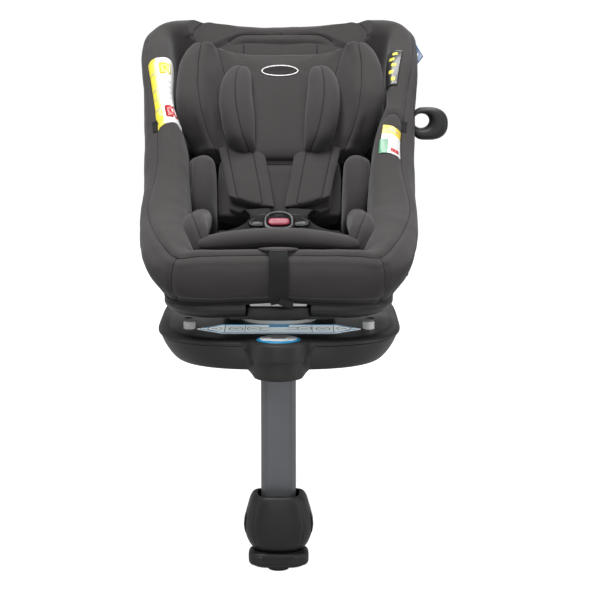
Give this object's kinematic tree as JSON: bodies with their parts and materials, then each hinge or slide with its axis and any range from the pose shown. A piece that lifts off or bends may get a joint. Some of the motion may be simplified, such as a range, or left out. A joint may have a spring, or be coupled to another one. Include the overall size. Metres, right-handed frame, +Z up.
{
  "type": "convertible car seat",
  "caption": "Rotating child car seat with a padded shell, sliding headrest, harness, swivelling base on anchor arms and a folding, telescopic support leg.",
  "frame": {"origin": "midpoint of the two lower anchor bars of the car, where the jaws close", "axes": "+X along the anchor bars, to the right seen from in front; -Y out of the front of the seat; +Z up"},
  "size_m": [0.4876, 0.594, 0.7853],
  "materials": {
    "steel": "satin",
    "tube_paint": "satin",
    "inner_tube": "satin",
    "connector_plastic": "matte",
    "release_red": "gloss",
    "base_plastic": "fine grain",
    "trim_plastic": "matte",
    "carrier_plastic": "matte",
    "glide_plastic": "smooth",
    "bumper_plastic": "matte",
    "label_print": "satin film",
    "sole_rubber": "matte",
    "button_grey": "matte",
    "button_red": "gloss",
    "cover_fabric": "woven",
    "insert_fabric": "knitted",
    "webbing": "woven webbing"
  },
  "bodies": {
    "isofix_frame": {"isofix_frame": "steel", "isofix_connector_left": "connector_plastic", "isofix_connector_right": "connector_plastic"},
    "hook_left": {"isofix_hook_left": "steel"},
    "hook_right": {"isofix_hook_right": "steel"},
    "release_left": {"isofix_release_left": "release_red"},
    "release_right": {"isofix_release_right": "release_red"},
    "base": {"base_lower_tray": "base_plastic", "base_upper_cover": "base_plastic", "glide_ring": "glide_plastic", "rest_bumpers": "bumper_plastic", "deck_label": "label_print", "leg_status_disc": "label_print", "leg_pivot_pin": "steel", "base_screws": "steel"},
    "adjuster_left": {"isofix_adjuster_left": "trim_plastic"},
    "adjuster_right": {"isofix_adjuster_right": "trim_plastic"},
    "leg": {"leg_upper_tube": "tube_paint", "leg_adjuster": "base_plastic"},
    "leg_button_left": {"leg_button_left": "trim_plastic"},
    "leg_button_right": {"leg_button_right": "trim_plastic"},
    "leg_lower": {"leg_inner_tube": "inner_tube", "foot_block": "base_plastic", "foot_sole": "sole_rubber"},
    "foot_plunger": {"foot_plunger": "trim_plastic"},
    "turntable": {"turntable_disc": "base_plastic", "turntable_retainer": "steel", "recline_carrier": "carrier_plastic"},
    "lock_bolt": {"rotation_lock_bolt": "steel"},
    "seat": {"seat_shell": "base_plastic", "shell_back_cover": "base_plastic", "recline_keel": "carrier_plastic", "recline_pins": "steel", "cover_left": "cover_fabric", "cover_right": "cover_fabric", "cover_top": "cover_fabric", "cover_front": "cover_fabric", "seat_cushion": "cover_fabric", "back_cushion": "cover_fabric", "insert_cushion": "insert_fabric", "insert_side_left": "insert_fabric", "insert_side_right": "insert_fabric", "adjuster_strap": "webbing", "harness_straps": "webbing", "shoulder_pad_left": "insert_fabric", "shoulder_pad_right": "insert_fabric", "crotch_pad": "insert_fabric", "buckle_housing": "trim_plastic", "buckle_tongues": "trim_plastic"},
    "recline_handle": {"recline_handle": "base_plastic"},
    "rotation_button": {"rotation_button": "button_grey"},
    "harness_adjuster": {"harness_adjuster": "trim_plastic"},
    "buckle_button": {"buckle_button": "button_red"},
    "side_pod": {"side_impact_pod": "base_plastic"},
    "headrest": {"headrest_frame": "base_plastic", "headrest_cushion": "cover_fabric", "headrest_wing_left": "cover_fabric", "headrest_wing_right": "cover_fabric", "head_insert": "insert_fabric"},
    "headrest_lever": {"headrest_lever": "trim_plastic"}
  },
  "joints": [
    {"name": "base_slide", "type": "slide", "parent": "isofix_frame", "child": "base", "axis": [0, -1, 0], "range_m": [0, 0.09]},
    {"name": "hook_left_swing", "type": "hinge", "parent": "isofix_frame", "child": "hook_left", "pos_m": [-0.14, -0.015, -0.01], "axis": [1, 0, 0], "range_deg": [0, 35]},
    {"name": "hook_right_swing", "type": "hinge", "parent": "isofix_frame", "child": "hook_right", "pos_m": [0.14, -0.015, -0.01], "axis": [1, 0, 0], "range_deg": [0, 35]},
    {"name": "release_left_slide", "type": "slide", "parent": "isofix_frame", "child": "release_left", "axis": [0, -1, 0], "range_m": [0, 0.008]},
    {"name": "release_right_slide", "type": "slide", "parent": "isofix_frame", "child": "release_right", "axis": [0, -1, 0], "range_m": [0, 0.008]},
    {"name": "adjuster_left_press", "type": "slide", "parent": "base", "child": "adjuster_left", "axis": [1, 0, 0], "range_m": [0, 0.004], "stiffness_N_per_m": 700},
    {"name": "adjuster_right_press", "type": "slide", "parent": "base", "child": "adjuster_right", "axis": [-1, 0, 0], "range_m": [0, 0.004], "stiffness_N_per_m": 700},
    {"name": "leg_fold", "type": "hinge", "parent": "base", "child": "leg", "pos_m": [0, -0.535, -0.015], "axis": [1, 0, 0], "range_deg": [0, 90]},
    {"name": "leg_button_left_press", "type": "slide", "parent": "leg", "child": "leg_button_left", "axis": [1, 0, 0], "range_m": [0, 0.004], "stiffness_N_per_m": 700},
    {"name": "leg_button_right_press", "type": "slide", "parent": "leg", "child": "leg_button_right", "axis": [-1, 0, 0], "range_m": [0, 0.004], "stiffness_N_per_m": 700},
    {"name": "leg_extend", "type": "slide", "parent": "leg", "child": "leg_lower", "axis": [0, 0, -1], "range_m": [0, 0.2]},
    {"name": "foot_press", "type": "slide", "parent": "leg_lower", "child": "foot_plunger", "axis": [0, 0, 1], "range_m": [0, 0.0035], "stiffness_N_per_m": 900},
    {"name": "turntable_spin", "type": "hinge", "parent": "base", "child": "turntable", "pos_m": [0, -0.345, 0.026], "axis": [0, 0, 1], "continuous": true},
    {"name": "lock_bolt_drop", "type": "slide", "parent": "turntable", "child": "lock_bolt", "axis": [0, 0, -1], "range_m": [0, 0.004], "stiffness_N_per_m": 600},
    {"name": "recline", "type": "hinge", "parent": "turntable", "child": "seat", "pos_m": [0, -0.355, 0.521], "axis": [-1, 0, 0], "range_deg": [0, 12]},
    {"name": "recline_handle_pull", "type": "slide", "parent": "seat", "child": "recline_handle", "axis": [0, -1, 0], "range_m": [0, 0.012], "stiffness_N_per_m": 900},
    {"name": "rotation_button_out", "type": "slide", "parent": "seat", "child": "rotation_button", "axis": [1, 0, 0], "range_m": [0, 0.004]},
    {"name": "harness_release_press", "type": "slide", "parent": "seat", "child": "harness_adjuster", "axis": [0, 0, -1], "range_m": [0, 0.003], "stiffness_N_per_m": 900},
    {"name": "buckle_press", "type": "slide", "parent": "seat", "child": "buckle_button", "axis": [0, 0.7431, -0.6691], "range_m": [0, 0.003], "stiffness_N_per_m": 1500},
    {"name": "pod_clip", "type": "slide", "parent": "seat", "child": "side_pod", "axis": [1, 0, 0], "range_m": [0, 0.06]},
    {"name": "headrest_height", "type": "slide", "parent": "seat", "child": "headrest", "axis": [0, 0.5, 0.866], "range_m": [0, 0.16]},
    {"name": "headrest_lever_squeeze", "type": "slide", "parent": "headrest", "child": "headrest_lever", "axis": [0, 0.5, 0.866], "range_m": [0, 0.005], "stiffness_N_per_m": 900}
  ],
  "couplings": [
    {"joint": "release_left_slide", "follows": "hook_left_swing", "m_per_rad": 0.013096},
    {"joint": "release_right_slide", "follows": "hook_right_swing", "m_per_rad": 0.013096},
    {"joint": "rotation_button_out", "follows": "lock_bolt_drop", "ratio": 1}
  ]
}
